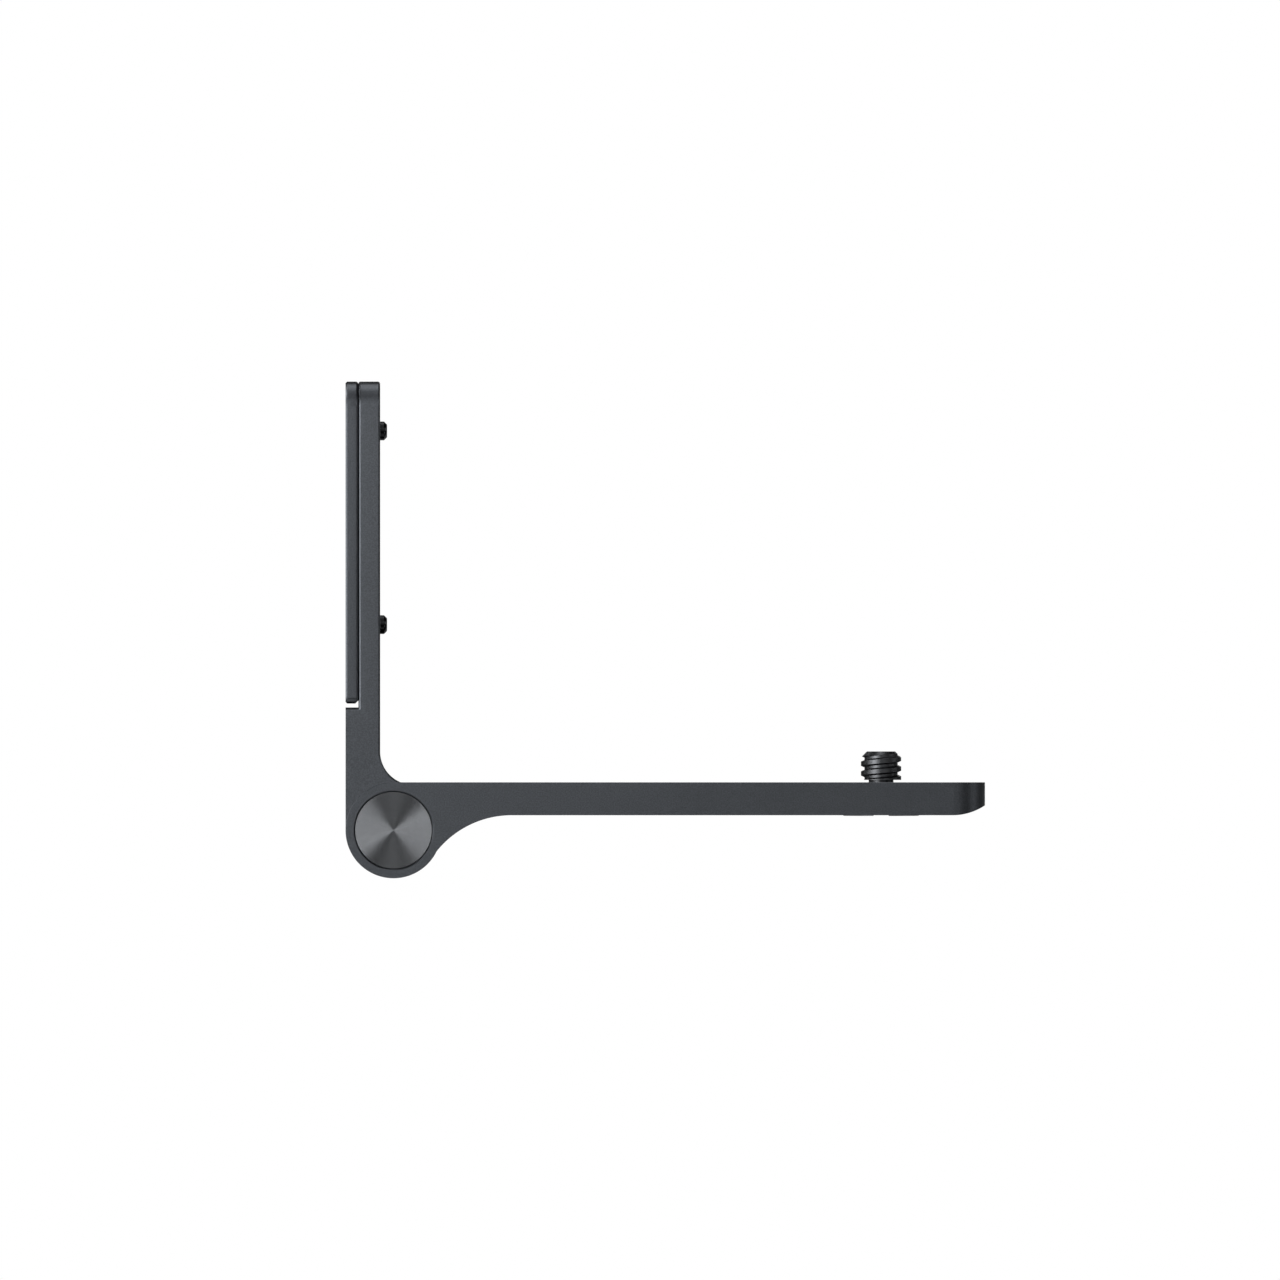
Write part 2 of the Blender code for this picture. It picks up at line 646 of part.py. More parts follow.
make_upright()
make_wall_plate()
make_lock_screw("upper", LOCK_SCREW_UPPER)
make_lock_screw("lower", LOCK_SCREW_LOWER)
make_swing_arm()
make_hinge_bolt()
make_ring(
    "head_washer",
    bolt_hole_radius,
    WASHER_RADIUS,
    HEAD_WASHER_THICKNESS,
    -head_web_face - STACK_GAP - HEAD_WASHER_THICKNESS,
    spring_steel,
    arm_hinge,
)
make_ring(
    "spring_washer",
    bolt_hole_radius,
    WASHER_RADIUS,
    SPRING_WASHER_THICKNESS,
    nut_web_face + STACK_GAP,
    spring_steel,
    arm_hinge,
)
for number in range(1, DISC_SPRING_COUNT + 1):
    make_disc_spring(number)
make_hinge_nut()
for name, rotation, side in (("near", AGAINST_Y, -1), ("far", ALONG_Y, 1)):
    make_bush(name, rotation, side)
    washer_middle = side * (outer_knuckle_inner_face - STACK_GAP - FRICTION_WASHER_THICKNESS / 2)
    make_ring(
        "friction_washer_" + name,
        bolt_hole_radius,
        FLANGE_RADIUS,
        FRICTION_WASHER_THICKNESS,
        washer_middle - FRICTION_WASHER_THICKNESS / 2,
        spring_steel,
        arm_hinge,
    )
    make_cap(name, rotation, side)
make_camera_screw()
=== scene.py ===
import json
import math

import bpy
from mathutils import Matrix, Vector


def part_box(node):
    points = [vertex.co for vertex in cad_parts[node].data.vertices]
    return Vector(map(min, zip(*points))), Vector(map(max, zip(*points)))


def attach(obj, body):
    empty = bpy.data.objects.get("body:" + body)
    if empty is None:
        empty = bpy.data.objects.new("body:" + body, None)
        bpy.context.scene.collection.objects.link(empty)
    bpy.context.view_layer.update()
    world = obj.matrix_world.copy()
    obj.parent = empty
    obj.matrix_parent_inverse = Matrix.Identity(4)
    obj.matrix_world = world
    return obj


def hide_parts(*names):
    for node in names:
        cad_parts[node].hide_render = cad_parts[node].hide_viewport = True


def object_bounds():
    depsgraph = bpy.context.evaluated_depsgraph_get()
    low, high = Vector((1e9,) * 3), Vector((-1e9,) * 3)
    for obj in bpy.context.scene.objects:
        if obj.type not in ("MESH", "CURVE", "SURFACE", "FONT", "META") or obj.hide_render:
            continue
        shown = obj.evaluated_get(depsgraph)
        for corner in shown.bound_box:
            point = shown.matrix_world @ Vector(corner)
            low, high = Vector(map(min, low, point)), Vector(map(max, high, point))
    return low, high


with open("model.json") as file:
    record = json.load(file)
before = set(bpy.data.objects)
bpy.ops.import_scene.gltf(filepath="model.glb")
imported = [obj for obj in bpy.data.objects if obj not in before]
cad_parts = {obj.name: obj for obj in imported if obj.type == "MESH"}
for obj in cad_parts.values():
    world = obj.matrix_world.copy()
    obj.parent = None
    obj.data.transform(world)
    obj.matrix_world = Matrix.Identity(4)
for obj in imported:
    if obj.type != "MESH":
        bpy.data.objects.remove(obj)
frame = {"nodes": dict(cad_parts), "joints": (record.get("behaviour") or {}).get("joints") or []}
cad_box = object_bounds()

# Wall plate
# A thin strip of aluminium, its rear edge chamfered and its front edge rounded, blasted and anodised.
# Four countersunk screws hold it to the wall, and its two tapped holes take the lock screws.


def add_block(name, low, high):
    """A box between two corners, with its place in its mesh."""
    bpy.ops.object.select_all(action="DESELECT")
    middle = (Vector(low) + Vector(high)) / 2
    bpy.ops.mesh.primitive_cube_add(size=1, location=middle, scale=Vector(high) - Vector(low))
    bpy.ops.object.transform_apply(location=True, rotation=True, scale=True)
    block = bpy.context.active_object
    block.name = name
    return block


def open_with_edges(piece, wanted):
    """Opens a piece in edit mode with only the edges selected whose two ends pass the test."""
    bpy.ops.object.select_all(action="DESELECT")
    piece.select_set(True)
    bpy.context.view_layer.objects.active = piece
    bpy.ops.object.mode_set(mode="EDIT")
    bpy.ops.mesh.select_mode(type="EDGE")
    bpy.ops.mesh.select_all(action="DESELECT")
    bpy.ops.object.mode_set(mode="OBJECT")
    points = piece.data.vertices
    for edge in piece.data.edges:
        edge.select = wanted(points[edge.vertices[0]].co, points[edge.vertices[1]].co)
    bpy.ops.object.mode_set(mode="EDIT")


tolerance = 0.000005
merge_distance = 0.000001


def close(first, second):
    """Whether two sizes are the same to a few microns."""
    return abs(first - second) < tolerance


def round_corners(piece, height, radius, segments):
    """Rounds the two corners of a standing strip at one height."""
    open_with_edges(piece, lambda a, b: close(a.z, height) and close(b.z, height) and close(a.y, b.y))
    bpy.ops.mesh.bevel(offset=radius, segments=segments, affect="EDGES")
    bpy.ops.object.mode_set(mode="OBJECT")


def apply(piece, kind, **settings):
    """Adds a modifier to a piece and applies it."""
    bpy.ops.object.select_all(action="DESELECT")
    piece.select_set(True)
    bpy.context.view_layer.objects.active = piece
    step = piece.modifiers.new("step", kind)
    for setting, value in settings.items():
        setattr(step, setting, value)
    bpy.ops.object.modifier_apply(modifier=step.name)


def machine(piece, cutter, operation="DIFFERENCE"):
    """Cuts a piece with another shape, which is then gone."""
    apply(piece, "BOOLEAN", operation=operation, solver="EXACT", object=cutter)
    bpy.data.objects.remove(cutter)


def turn(name, profile, steps, centre, axis):
    """A lathe shape: a profile of (radius, distance along the axis), drawn as a line and spun round."""
    along = Vector(axis)
    outwards = along.orthogonal().normalized()
    places = [Vector(centre) + outwards * radius + along * far for radius, far in profile]
    bpy.ops.object.select_all(action="DESELECT")
    bpy.ops.mesh.primitive_plane_add(size=profile[1][0], location=places[0])
    bpy.ops.object.transform_apply(location=True, rotation=True, scale=True)
    piece = bpy.context.active_object
    piece.name = name
    # Merged to its middle, the plane is the one point that the profile starts from
    bpy.ops.object.mode_set(mode="EDIT")
    bpy.ops.mesh.select_mode(type="VERT")
    bpy.ops.mesh.select_all(action="SELECT")
    bpy.ops.mesh.merge(type="CENTER")
    for here, there in zip(places, places[1:]):
        bpy.ops.mesh.extrude_region_move(TRANSFORM_OT_translate={"value": there - here})
    bpy.ops.mesh.select_all(action="SELECT")
    bpy.ops.mesh.spin(steps=steps, angle=math.tau, center=centre, axis=along)
    tidy_mesh()
    bpy.ops.object.mode_set(mode="OBJECT")
    return piece


def tidy_mesh():
    """In edit mode, merges doubles and turns the faces out."""
    bpy.ops.mesh.select_all(action="SELECT")
    bpy.ops.mesh.remove_doubles(threshold=merge_distance)
    bpy.ops.mesh.normals_make_consistent(inside=False)


def shade(piece, from_degrees=30):
    """Shades the arcs smooth and keeps the flats flat, with a crease at each sharper edge."""
    bpy.ops.object.select_all(action="DESELECT")
    piece.select_set(True)
    bpy.context.view_layer.objects.active = piece
    bpy.ops.object.shade_smooth_by_angle(angle=math.radians(from_degrees))
    apply(piece, "WEIGHTED_NORMAL", keep_sharp=True)


def new_group(name, inputs, outputs):
    """A shader node group with number inputs at their usual values, and number outputs."""
    group = bpy.data.node_groups.new(name, "ShaderNodeTree")
    for socket, value in inputs.items():
        made = group.interface.new_socket(socket, in_out="INPUT", socket_type="NodeSocketFloat")
        made.default_value = value
    for socket in outputs:
        group.interface.new_socket(socket, in_out="OUTPUT", socket_type="NodeSocketFloat")
    return group, group.nodes.new("NodeGroupInput"), group.nodes.new("NodeGroupOutput")


def add_node(tree, kind, settings=(), **inputs):
    """A node with its settings and inputs; _0 is its first socket, and an output given is linked."""
    node = tree.nodes.new(kind)
    for setting, value in dict(settings).items():
        setattr(node, setting, value)
    for name, value in inputs.items():
        socket = node.inputs[int(name[1:])] if name[1:].isdigit() else node.inputs[name.replace("_", " ")]
        if isinstance(value, bpy.types.NodeSocket):
            tree.links.new(value, socket)
        else:
            socket.default_value = value
    return node


# The skin that blasting with glass beads leaves: fine pits, bright flecks and a faint cloudiness
blasted, blasted_in, blasted_out = new_group(
    "blasted_skin", {"Pits per metre": 4000, "Clouds per metre": 60}, ["Height", "Fleck", "Cloud"]
)
blasted_place = add_node(blasted, "ShaderNodeTexCoord").outputs["Object"]
pits = add_node(
    blasted, "ShaderNodeTexNoise", Vector=blasted_place, Scale=blasted_in.outputs[0], Detail=2, Roughness=0.6
)
flecks = add_node(blasted, "ShaderNodeTexNoise", Vector=blasted_place, Scale=5000, Detail=1, Roughness=0.5)
fleck_mask = add_node(
    blasted, "ShaderNodeMapRange", {"interpolation_type": "SMOOTHSTEP"}, Value=flecks.outputs[0],
    From_Min=0.3, From_Max=0.7,
)
clouds = add_node(
    blasted, "ShaderNodeTexNoise", Vector=blasted_place, Scale=blasted_in.outputs[1], Detail=3, Roughness=0.5
)
blasted.links.new(pits.outputs[0], blasted_out.inputs["Height"])
blasted.links.new(fleck_mask.outputs[0], blasted_out.inputs["Fleck"])
blasted.links.new(clouds.outputs[0], blasted_out.inputs["Cloud"])

# Where handling thins a finish: a mask that is 1 on the edges and 0 on the flats
edge_wear, edge_in, edge_out = new_group("edge_wear", {"Reach": 0.00015, "Gain": 6}, ["Mask"])
rounded = add_node(edge_wear, "ShaderNodeBevel", {"samples": 4}, Radius=edge_in.outputs[0])
surface = add_node(edge_wear, "ShaderNodeNewGeometry")
turning = add_node(
    edge_wear, "ShaderNodeVectorMath", {"operation": "DOT_PRODUCT"}, _0=rounded.outputs[0],
    _1=surface.outputs["True Normal"],
)
apart = add_node(edge_wear, "ShaderNodeMath", {"operation": "SUBTRACT"}, _0=1.0, _1=turning.outputs["Value"])
strong = add_node(
    edge_wear, "ShaderNodeMath", {"operation": "MULTIPLY", "use_clamp": True}, _0=apart.outputs[0],
    _1=edge_in.outputs[1],
)
edge_wear.links.new(strong.outputs[0], edge_out.inputs["Mask"])


def new_material(name, metallic, roughness):
    """A material with its node tree and its shader."""
    material = bpy.data.materials.new(name)
    material.use_nodes = True
    shader = material.node_tree.nodes["Principled BSDF"]
    shader.inputs["Metallic"].default_value = metallic
    shader.inputs["Roughness"].default_value = roughness
    return material, material.node_tree, shader


def use_group(tree, group, **inputs):
    """Places a group in a material, with that material's own values."""
    node = tree.nodes.new("ShaderNodeGroup")
    node.node_tree = group
    for name, value in inputs.items():
        node.inputs[name.replace("_", " ")].default_value = value
    return node


def mix_colours(tree, mask, first, second):
    """The first colour where the mask is 0 and the second where it is 1."""
    mix = add_node(tree, "ShaderNodeMix", {"data_type": "RGBA"}, _0=mask, _6=first, _7=second)
    return mix.outputs[2]


def dress(piece, material, body=None, stands_for=()):
    """Gives a piece its material and its body, and hides the nodes that it replaces."""
    piece.data.materials.clear()
    piece.data.materials.append(material)
    if body:
        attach(piece, body)
    if stands_for:
        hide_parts(*stands_for)


grey_pit = (0.073, 0.0785, 0.0865, 1)
grey_fleck = (0.093, 0.0998, 0.1105, 1)
grey_worn = (0.11, 0.117, 0.127, 1)

anodised, nodes, shader = new_material("anodised_aluminium", metallic=1.0, roughness=0.4)
skin = use_group(nodes, blasted)
wear = use_group(nodes, edge_wear)
tint = mix_colours(nodes, skin.outputs["Fleck"], grey_pit, grey_fleck)
tint = mix_colours(nodes, wear.outputs["Mask"], tint, grey_worn)
nodes.links.new(tint, shader.inputs["Base Color"])
sheen = add_node(nodes, "ShaderNodeMapRange", Value=skin.outputs["Cloud"], To_Min=0.31, To_Max=0.37)
nodes.links.new(sheen.outputs[0], shader.inputs["Roughness"])
bump = add_node(nodes, "ShaderNodeBump", Height=skin.outputs["Height"], Strength=0.12, Distance=0.00005)
nodes.links.new(bump.outputs[0], shader.inputs["Normal"])

plate_low, plate_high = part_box("wall_plate")
# The plate and the leaf meet here; their solids stand this far apart
seat_gap = 0.0001
plate_front = plate_high.x + seat_gap
plate_corner = 0.004
plate_foot_corner = 0.001
plate_chamfer = 0.00026
plate_seam_round = 0.00042
plate_foot_chamfer = 0.0005
foot_chamfer_degrees = -45
drilled_radius = 0.002
sink_radius = 0.0035
drilled_across = 0.020
drilled_up = 0.039
drilled_places = [
    (across * drilled_across / 2, up * drilled_up / 2)
    for across in (-1, 1)
    for up in (-1, 1)
]
lock_screw_boxes = [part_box("lock_screw_upper"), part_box("lock_screw_lower")]
lock_screw_heights = [(low.z + high.z) / 2 for low, high in lock_screw_boxes]
tapped_radius = 0.0016
overrun = 0.001

plate = add_block("wall_plate_machined", plate_low, (plate_front, plate_high.y, plate_high.z))
round_corners(plate, plate_high.z, plate_corner, segments=24)
round_corners(plate, plate_low.z, plate_foot_corner, segments=8)
for face_x, width, segments in ((plate_low.x, plate_chamfer, 1), (plate_front, plate_seam_round, 4)):
    open_with_edges(plate, lambda a, b: close(a.x, face_x) and close(b.x, face_x))
    bpy.ops.mesh.bevel(offset=width, segments=segments, affect="EDGES", clamp_overlap=False)
    bpy.ops.object.mode_set(mode="OBJECT")
chamfer_tool = add_block(
    "chamfer_tool",
    (plate_front - plate_foot_chamfer, plate_low.y - overrun, plate_low.z - overrun * 2),
    (plate_front - plate_foot_chamfer + overrun, plate_high.y + overrun, plate_low.z + overrun * 2),
)
bpy.ops.transform.rotate(
    value=math.radians(foot_chamfer_degrees),
    orient_axis="Y",
    center_override=(plate_front - plate_foot_chamfer, 0, plate_low.z),
)
bpy.ops.object.transform_apply(location=True, rotation=True, scale=True)
machine(plate, chamfer_tool)
drill = [
    (0, -overrun),
    (drilled_radius, -overrun),
    (drilled_radius, plate_front - (sink_radius - drilled_radius)),
    (sink_radius + overrun, plate_front + overrun),
    (0, plate_front + overrun),
]
for across, up in drilled_places:
    machine(plate, turn("drill", drill, steps=48, centre=(0, across, up), axis=(1, 0, 0)))
tap = [
    (0, -overrun),
    (tapped_radius, -overrun),
    (tapped_radius, plate_front + overrun),
    (0, plate_front + overrun),
]
for height in lock_screw_heights:
    machine(plate, turn("tap", tap, steps=32, centre=(0, 0, height), axis=(1, 0, 0)))
shade(plate)
dress(plate, anodised, "wall_side", ["wall_plate"])

# Upright
# One bar of aluminium, milled to the leaf, the ledge under the plate and the hinge's centre knuckle.
# Its sides are relieved round the arm's knuckles; it is blasted and anodised with the other two.
joints = {joint["name"]: joint for joint in frame["joints"]}
hinge = Vector(joints["arm_hinge"]["pos_m"])
upright_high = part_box("upright")[1]
knuckle_radius = hinge.x
leaf_rear = plate_front
leaf_front = 0.0055
ledge_rise = 0.0195
ledge_z = hinge.z + ledge_rise
front_fillet = 0.00527
# The arm's sides stand this far outside the leaf's, which shows as a fine line of light round the knuckle
side_step = 0.00006
leaf_half = upright_high.y - side_step
centre_half = 0.0057
running_gap = 0.00001
relief_radius = knuckle_radius + running_gap
upright_edge = 0.00035
ledge_round = 0.0006
knuckle_edge = 0.00004
flange_pocket = 0.0061
pocket_floor = 0.0046
bush_seat = 0.0037
arc_steps = 256
outline_join = 0.000002


def first_wall(name, start, end, half):
    """The first wall of a side outline: a plane from one (x, z) to the next, its far edge selected."""
    way = Vector((end[0] - start[0], end[1] - start[1]))
    bpy.ops.object.select_all(action="DESELECT")
    bpy.ops.mesh.primitive_plane_add(
        size=1,
        location=((start[0] + end[0]) / 2, 0, (start[1] + end[1]) / 2),
        rotation=(0, -math.atan2(way.y, way.x), 0),
    )
    piece = bpy.context.active_object
    piece.name = name
    piece.scale = (way.length, half * 2, 1)
    bpy.ops.object.transform_apply(location=True, rotation=True, scale=True)
    open_with_edges(piece, lambda a, b: all(close(p.x, end[0]) and close(p.z, end[1]) for p in (a, b)))
    return piece


def curl(centre, degrees):
    """Carries the selected edge round a centre, anticlockwise in the side view."""
    steps = max(4, math.ceil(abs(degrees) / 360 * arc_steps))
    bpy.ops.mesh.spin(
        steps=steps, angle=math.radians(degrees), center=(centre[0], 0, centre[1]), axis=(0, 1, 0)
    )


def run(start, end):
    """Carries the selected edge straight from one (x, z) to the next."""
    bpy.ops.mesh.extrude_region_move(
        TRANSFORM_OT_translate={"value": (end[0] - start[0], 0, end[1] - start[1])}
    )


def close_outline():
    """Joins the last wall to the first and fills both sides."""
    bpy.ops.mesh.select_all(action="SELECT")
    bpy.ops.mesh.remove_doubles(threshold=outline_join)
    bpy.ops.mesh.fill_holes(sides=0)
    tidy_mesh()
    bpy.ops.object.mode_set(mode="OBJECT")


def handled_edge(a, b):
    """Whether an edge goes round one of the upright's sides, but not along the rear of its foot."""
    across = close(a.z, b.z) and not close(a.z, ledge_z)
    foot_rear = close(a.x, 0) and close(b.x, 0)
    on_side = close(a.y, b.y) and close(abs(a.y), leaf_half)
    on_corner = min(a.z, b.z) > top_z - plate_corner - tolerance and close(a.x, b.x)
    return on_corner or (on_side and not across and not foot_rear)


def drop_stray_points(piece):
    """Dissolves the points on flat faces that cuts leave behind, which only two edges share."""
    open_with_edges(piece, lambda a, b: False)
    bpy.ops.mesh.select_mode(type="VERT")
    bpy.ops.object.mode_set(mode="OBJECT")
    uses = [0] * len(piece.data.vertices)
    for edge in piece.data.edges:
        for end in edge.vertices:
            uses[end] += 1
    for point, count in zip(piece.data.vertices, uses):
        point.select = count == 2
    bpy.ops.object.mode_set(mode="EDIT")
    bpy.ops.mesh.dissolve_verts()
    tidy_mesh()
    bpy.ops.object.mode_set(mode="OBJECT")


fillet_x = leaf_front + front_fillet
fillet_z = hinge.z + math.sqrt((knuckle_radius + front_fillet) ** 2 - (fillet_x - hinge.x) ** 2)
blend_degrees = math.degrees(math.atan2(fillet_z - hinge.z, fillet_x - hinge.x))
top_z = upright_high.z

upright = first_wall("upright_machined", (leaf_front, top_z), (leaf_front, fillet_z), leaf_half)
curl((fillet_x, fillet_z), blend_degrees)
curl((hinge.x, hinge.z), -180 - blend_degrees)
run((0, hinge.z), (0, ledge_z))
run((0, ledge_z), (leaf_rear, ledge_z))
run((leaf_rear, ledge_z), (leaf_rear, top_z))
run((leaf_rear, top_z), (leaf_front, top_z))
close_outline()
round_corners(upright, top_z, plate_corner, segments=24)
open_with_edges(upright, handled_edge)
bpy.ops.mesh.bevel(offset=upright_edge, segments=4, affect="EDGES", clamp_overlap=False)
bpy.ops.object.mode_set(mode="OBJECT")
# The rear of the foot is only as round as the arm's knuckles beside it
open_with_edges(upright, lambda a, b: close(a.x, 0) and close(b.x, 0) and not close(a.z, b.z))
bpy.ops.mesh.bevel(offset=knuckle_edge, segments=1, affect="EDGES", clamp_overlap=False)
bpy.ops.object.mode_set(mode="OBJECT")

# On both sides, room for the arm's knuckle: a quarter round over it, and straight down at the rear
for side in (-1, 1):
    beyond = relief_radius + overrun
    start = (hinge.x + beyond, hinge.z + relief_radius)
    cutter = first_wall("relief", start, (hinge.x, start[1]), (leaf_half + overrun - centre_half) / 2)
    curl((hinge.x, hinge.z), 90)
    run((hinge.x - relief_radius, hinge.z), (hinge.x - relief_radius, hinge.z - beyond))
    run((hinge.x - relief_radius, hinge.z - beyond), (hinge.x + beyond, hinge.z - beyond))
    run((hinge.x + beyond, hinge.z - beyond), start)
    close_outline()
    cutter.location.y = side * (leaf_half + overrun + centre_half) / 2
    machine(upright, cutter)

# The two upper corners of the ledge are rounded off by what a block leaves round a rod
for side in (-1, 1):
    outer = side * (leaf_half + overrun)
    inner = side * (leaf_half - ledge_round)
    rounding = add_block(
        "ledge_rounding",
        (-overrun, min(outer, inner), ledge_z - ledge_round),
        (leaf_rear, max(outer, inner), ledge_z + overrun),
    )
    rod = [
        (0, -overrun * 2),
        (ledge_round, -overrun * 2),
        (ledge_round, leaf_rear + overrun),
        (0, leaf_rear + overrun),
    ]
    rod_centre = (0, inner, ledge_z - ledge_round)
    machine(rounding, turn("rod", rod, steps=64, centre=rod_centre, axis=(1, 0, 0)))
    machine(upright, rounding)

bush_bore = [
    (0, -leaf_half - overrun),
    (flange_pocket, -leaf_half - overrun),
    (flange_pocket, -pocket_floor),
    (bush_seat, -pocket_floor),
    (bush_seat, pocket_floor),
    (flange_pocket, pocket_floor),
    (flange_pocket, leaf_half + overrun),
    (0, leaf_half + overrun),
]
machine(upright, turn("bush_bore", bush_bore, steps=64, centre=hinge, axis=(0, 1, 0)))
tap = [(0, 0), (tapped_radius, 0), (tapped_radius, leaf_front + overrun), (0, leaf_front + overrun)]
for height in lock_screw_heights:
    machine(upright, turn("tap", tap, steps=32, centre=(0, 0, height), axis=(1, 0, 0)))
drop_stray_points(upright)
shade(upright)
dress(upright, anodised, "wall_side", ["upright"])

# Lock screws
# Two M3 socket set screws of steel, blackened, with a chamfer at each end.
# Each is driven through the upright's thread into the plate's, and locks the two together.
thread_radius = 0.0015
tip_chamfer = 0.00047
socket_flats = 0.0015
socket_depth = 0.002
lock_screw_edge = 0.00006
film_green = 1.03
film_blue = 1.09
rubbed_gain = 1.5
rubbed_blue_gain = 1.6


def break_edges(piece, width, segments, from_degrees=30):
    """Takes the corner off every edge that turns by more than an angle."""
    apply(
        piece,
        "BEVEL",
        width=width,
        segments=segments,
        limit_method="ANGLE",
        angle_limit=math.radians(from_degrees),
        use_clamp_overlap=False,
    )


def cool_grey(level):
    """The faint blue cast of a blackened film."""
    return (level, level * film_green, level * film_blue, 1)


def blackened(name, dark, light, smooth, dull):
    """Steel blackened in hot salts: two greys and two roughnesses that the film drifts between."""
    material, tree, film_shader = new_material(name, metallic=1.0, roughness=dull)
    worn = use_group(tree, edge_wear, Reach=0.00006)
    film_place = add_node(tree, "ShaderNodeTexCoord").outputs["Object"]
    film = add_node(tree, "ShaderNodeTexNoise", Vector=film_place, Scale=3000, Detail=3, Roughness=0.6)
    colour = mix_colours(tree, film.outputs[0], cool_grey(dark), cool_grey(light))
    rubbed = (light * rubbed_gain, light * rubbed_gain, light * rubbed_blue_gain, 1)
    colour = mix_colours(tree, worn.outputs["Mask"], colour, rubbed)
    tree.links.new(colour, film_shader.inputs["Base Color"])
    gloss = add_node(tree, "ShaderNodeMapRange", Value=film.outputs[0], To_Min=smooth, To_Max=dull)
    tree.links.new(gloss.outputs[0], film_shader.inputs["Roughness"])
    grit = add_node(tree, "ShaderNodeBump", Height=film.outputs[0], Strength=0.1, Distance=0.00001)
    tree.links.new(grit.outputs[0], film_shader.inputs["Normal"])
    return material


dull_black = blackened("dull_black_steel", dark=0.02, light=0.024, smooth=0.15, dull=0.18)

for name, (low, high), height in zip(("upper", "lower"), lock_screw_boxes, lock_screw_heights):
    profile = [
        (0, low.x),
        (thread_radius - tip_chamfer, low.x),
        (thread_radius, low.x + tip_chamfer),
        (thread_radius, high.x - tip_chamfer),
        (thread_radius - tip_chamfer, high.x),
        (0, high.x),
    ]
    screw = turn(f"lock_screw_{name}_turned", profile, steps=64, centre=(0, 0, height), axis=(1, 0, 0))
    bpy.ops.object.select_all(action="DESELECT")
    bpy.ops.mesh.primitive_cylinder_add(
        vertices=6,
        radius=socket_flats / 2 / math.cos(math.radians(30)),
        depth=socket_depth * 2,
        location=(high.x, 0, height),
        rotation=(0, math.radians(90), 0),
    )
    machine(screw, bpy.context.active_object)
    break_edges(screw, lock_screw_edge, segments=2)
    shade(screw)
    dress(screw, dull_black, "wall_side", [f"lock_screw_{name}"])

# Hinge bolt and its stack
# A steel bolt and nut squeeze four conical springs, two washers and two friction discs against
# plastic bushes in the centre knuckle, so that the arm stays where it is set. All stays hidden.
steel_dark = (0.46, 0.46, 0.47, 1)
steel_light = (0.6, 0.6, 0.61, 1)
steel_rubbed = (0.7, 0.7, 0.7, 1)
plastic_dark = (0.7, 0.68, 0.62, 1)
plastic_light = (0.8, 0.78, 0.73, 1)

# The marks of a turning tool: rings about an axis, which rise and fall with the distance from it
rings, rings_in, rings_out = new_group("turned_rings", {"Rings per metre": 9000}, ["Height", "Fleck"])
rings.interface.new_socket("From axis", in_out="INPUT", socket_type="NodeSocketVector")
spread = add_node(rings, "ShaderNodeSeparateXYZ", Vector=rings_in.outputs["From axis"])
flat_place = add_node(rings, "ShaderNodeCombineXYZ", X=spread.outputs["X"], Y=spread.outputs["Y"])
radius = add_node(rings, "ShaderNodeVectorMath", {"operation": "LENGTH"}, _0=flat_place.outputs[0])
count = add_node(
    rings, "ShaderNodeMath", {"operation": "MULTIPLY"}, _0=radius.outputs["Value"], _1=rings_in.outputs[0]
)
ring_noise = add_node(
    rings, "ShaderNodeTexNoise", {"noise_dimensions": "1D"}, W=count.outputs[0], Scale=1, Detail=2
)
rings.links.new(ring_noise.outputs[0], rings_out.inputs["Height"])
rings.links.new(ring_noise.outputs[0], rings_out.inputs["Fleck"])

spring_steel, nodes, shader = new_material("bright_steel", metallic=1.0, roughness=0.3)
place = add_node(nodes, "ShaderNodeTexCoord").outputs["Object"]
about_hinge = add_node(
    nodes, "ShaderNodeMapping", {"vector_type": "TEXTURE"}, Vector=place, Location=hinge,
    Rotation=(math.radians(90), 0, 0),
)
lathe = use_group(nodes, rings)
nodes.links.new(about_hinge.outputs[0], lathe.inputs["From axis"])
wear = use_group(nodes, edge_wear)
tint = mix_colours(nodes, lathe.outputs["Fleck"], steel_dark, steel_light)
tint = mix_colours(nodes, wear.outputs["Mask"], tint, steel_rubbed)
nodes.links.new(tint, shader.inputs["Base Color"])
sheen = add_node(nodes, "ShaderNodeMapRange", Value=lathe.outputs["Fleck"], To_Min=0.22, To_Max=0.36)
nodes.links.new(sheen.outputs[0], shader.inputs["Roughness"])
bump = add_node(nodes, "ShaderNodeBump", Height=lathe.outputs["Height"], Strength=0.3, Distance=0.00002)
nodes.links.new(bump.outputs[0], shader.inputs["Normal"])

bush_plastic, nodes, shader = new_material("bearing_plastic", metallic=0.0, roughness=0.5)
place = add_node(nodes, "ShaderNodeTexCoord").outputs["Object"]
filler = add_node(nodes, "ShaderNodeTexNoise", Vector=place, Scale=3000, Detail=3)
tint = mix_colours(nodes, filler.outputs[0], plastic_dark, plastic_light)
nodes.links.new(tint, shader.inputs["Base Color"])
sheen = add_node(nodes, "ShaderNodeMapRange", Value=filler.outputs[0], To_Min=0.42, To_Max=0.55)
nodes.links.new(sheen.outputs[0], shader.inputs["Roughness"])
bump = add_node(nodes, "ShaderNodeBump", Height=filler.outputs[0], Strength=0.1, Distance=0.00003)
nodes.links.new(bump.outputs[0], shader.inputs["Normal"])

dress(frame["nodes"]["hinge_bolt"], dull_black)
for name in ("hinge_nut", "head_washer", "spring_washer", "friction_washer_near", "friction_washer_far"):
    dress(frame["nodes"][name], spring_steel)
for number in (1, 2, 3, 4):
    dress(frame["nodes"][f"disc_spring_{number}"], spring_steel)
for name in ("hinge_bush_near", "hinge_bush_far"):
    dress(frame["nodes"][name], bush_plastic)

